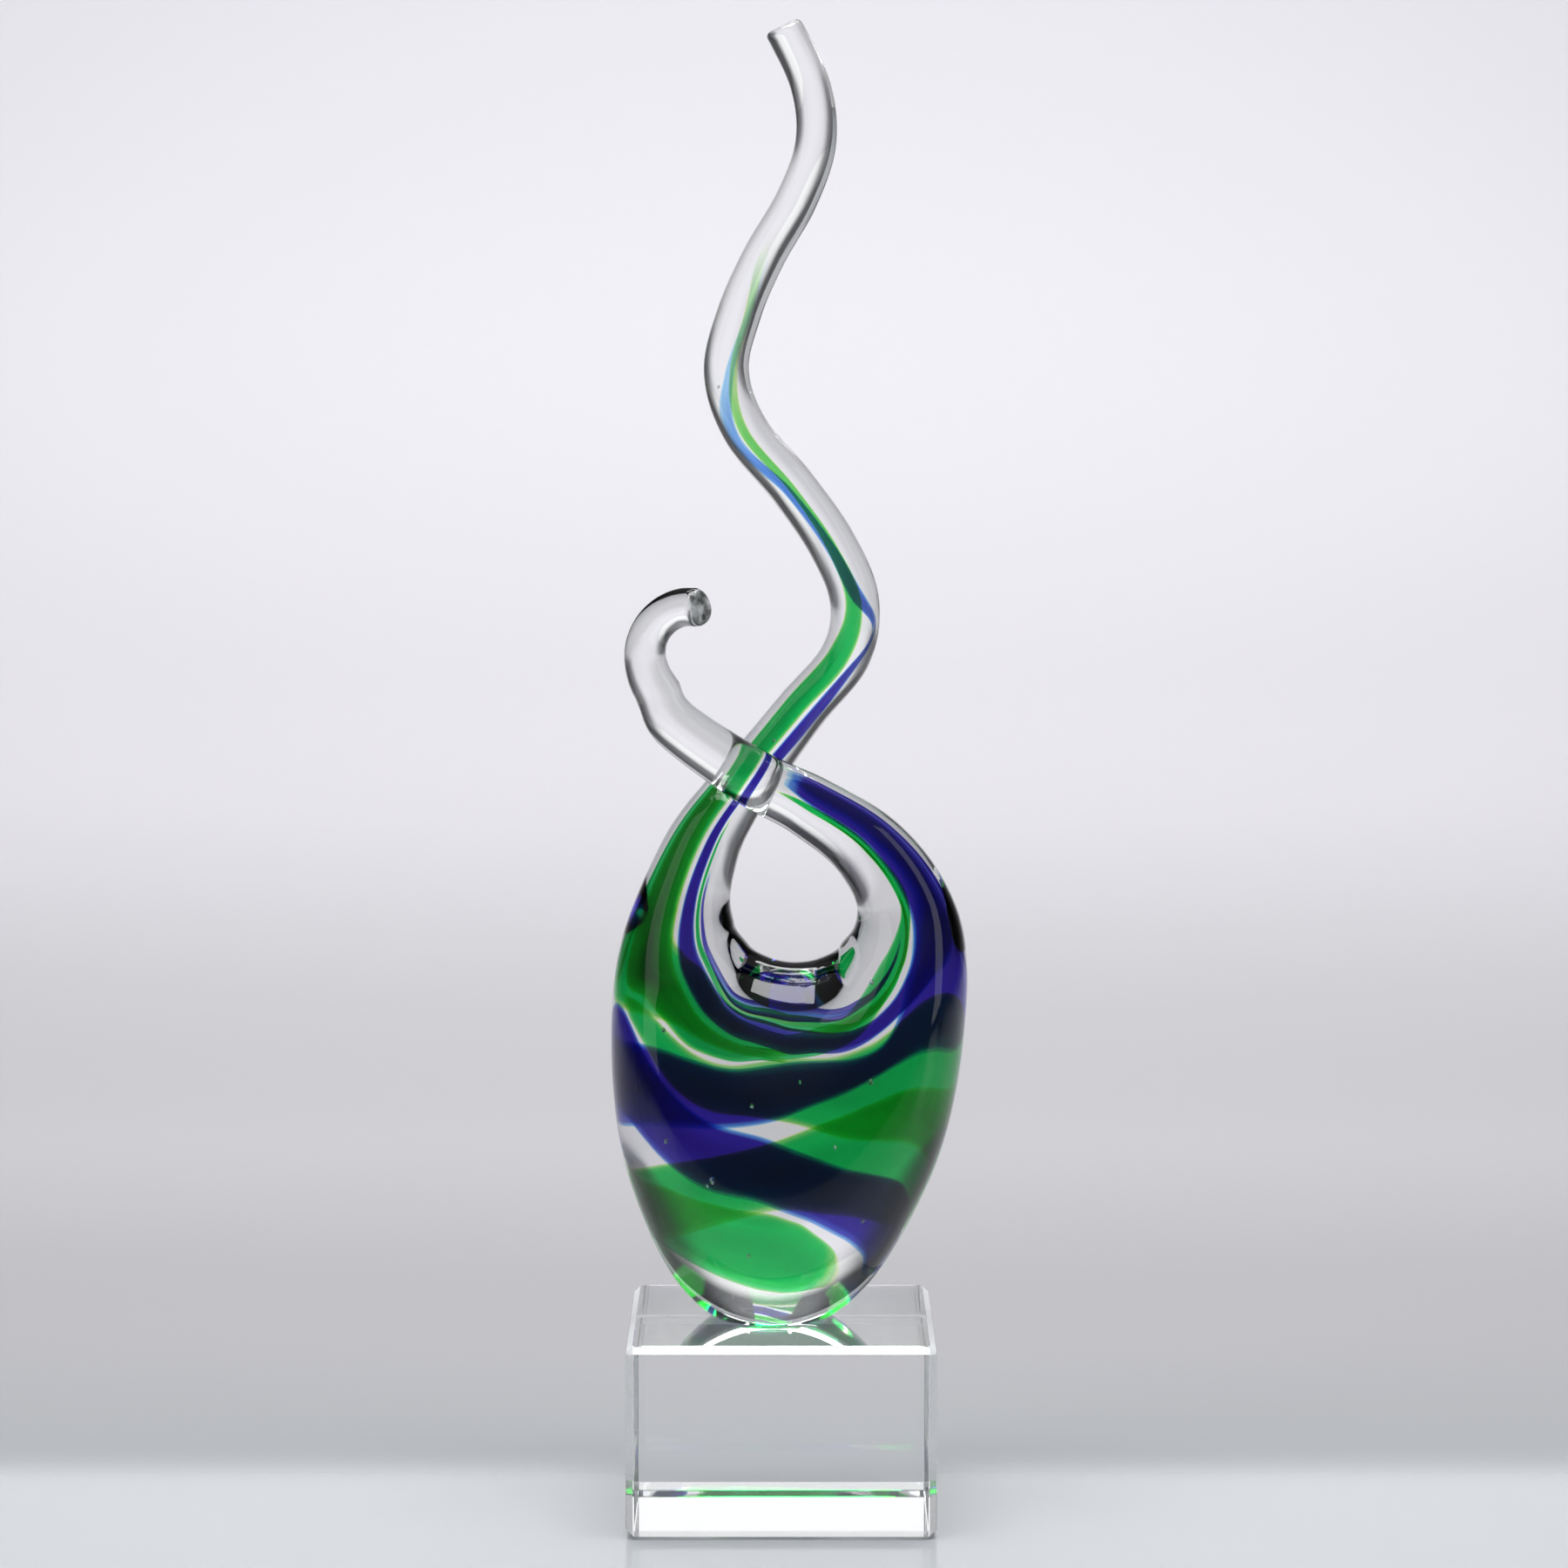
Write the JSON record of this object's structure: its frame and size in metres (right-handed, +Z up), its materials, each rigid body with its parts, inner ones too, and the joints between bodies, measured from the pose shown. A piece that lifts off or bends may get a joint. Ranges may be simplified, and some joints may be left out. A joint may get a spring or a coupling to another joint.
{
  "type": "art glass award",
  "caption": "Art glass award: a clear loop with green and blue swirls, drawn into a long corkscrew tendril and a short curl, on a bevelled square crystal block.",
  "frame": {"origin": "centre of the crystal block's underside", "axes": "+Z up along the award, +X to the right and -Y towards the viewer of the front"},
  "size_m": [0.0931, 0.08, 0.3877],
  "materials": {
    "crystal": "polished optical crystal with bevelled edges",
    "adhesive": "clear cured adhesive",
    "clear_glass": "fire polished, with small seeds and streaks",
    "green_glass": "transparent emerald colour rod, streaked along its length",
    "blue_glass": "transparent blue-violet colour rod, streaked along its length"
  },
  "bodies": {
    "root": {"crystal_base": "crystal", "bond_film": "adhesive", "clear_casing": "clear_glass", "clear_core": "clear_glass", "green_swirl": "green_glass", "green_strand": "green_glass", "green_loop": "green_glass", "green_thread": "green_glass", "blue_swirl": "blue_glass", "blue_loop": "blue_glass", "blue_thread": "blue_glass"}
  },
  "joints": []
}
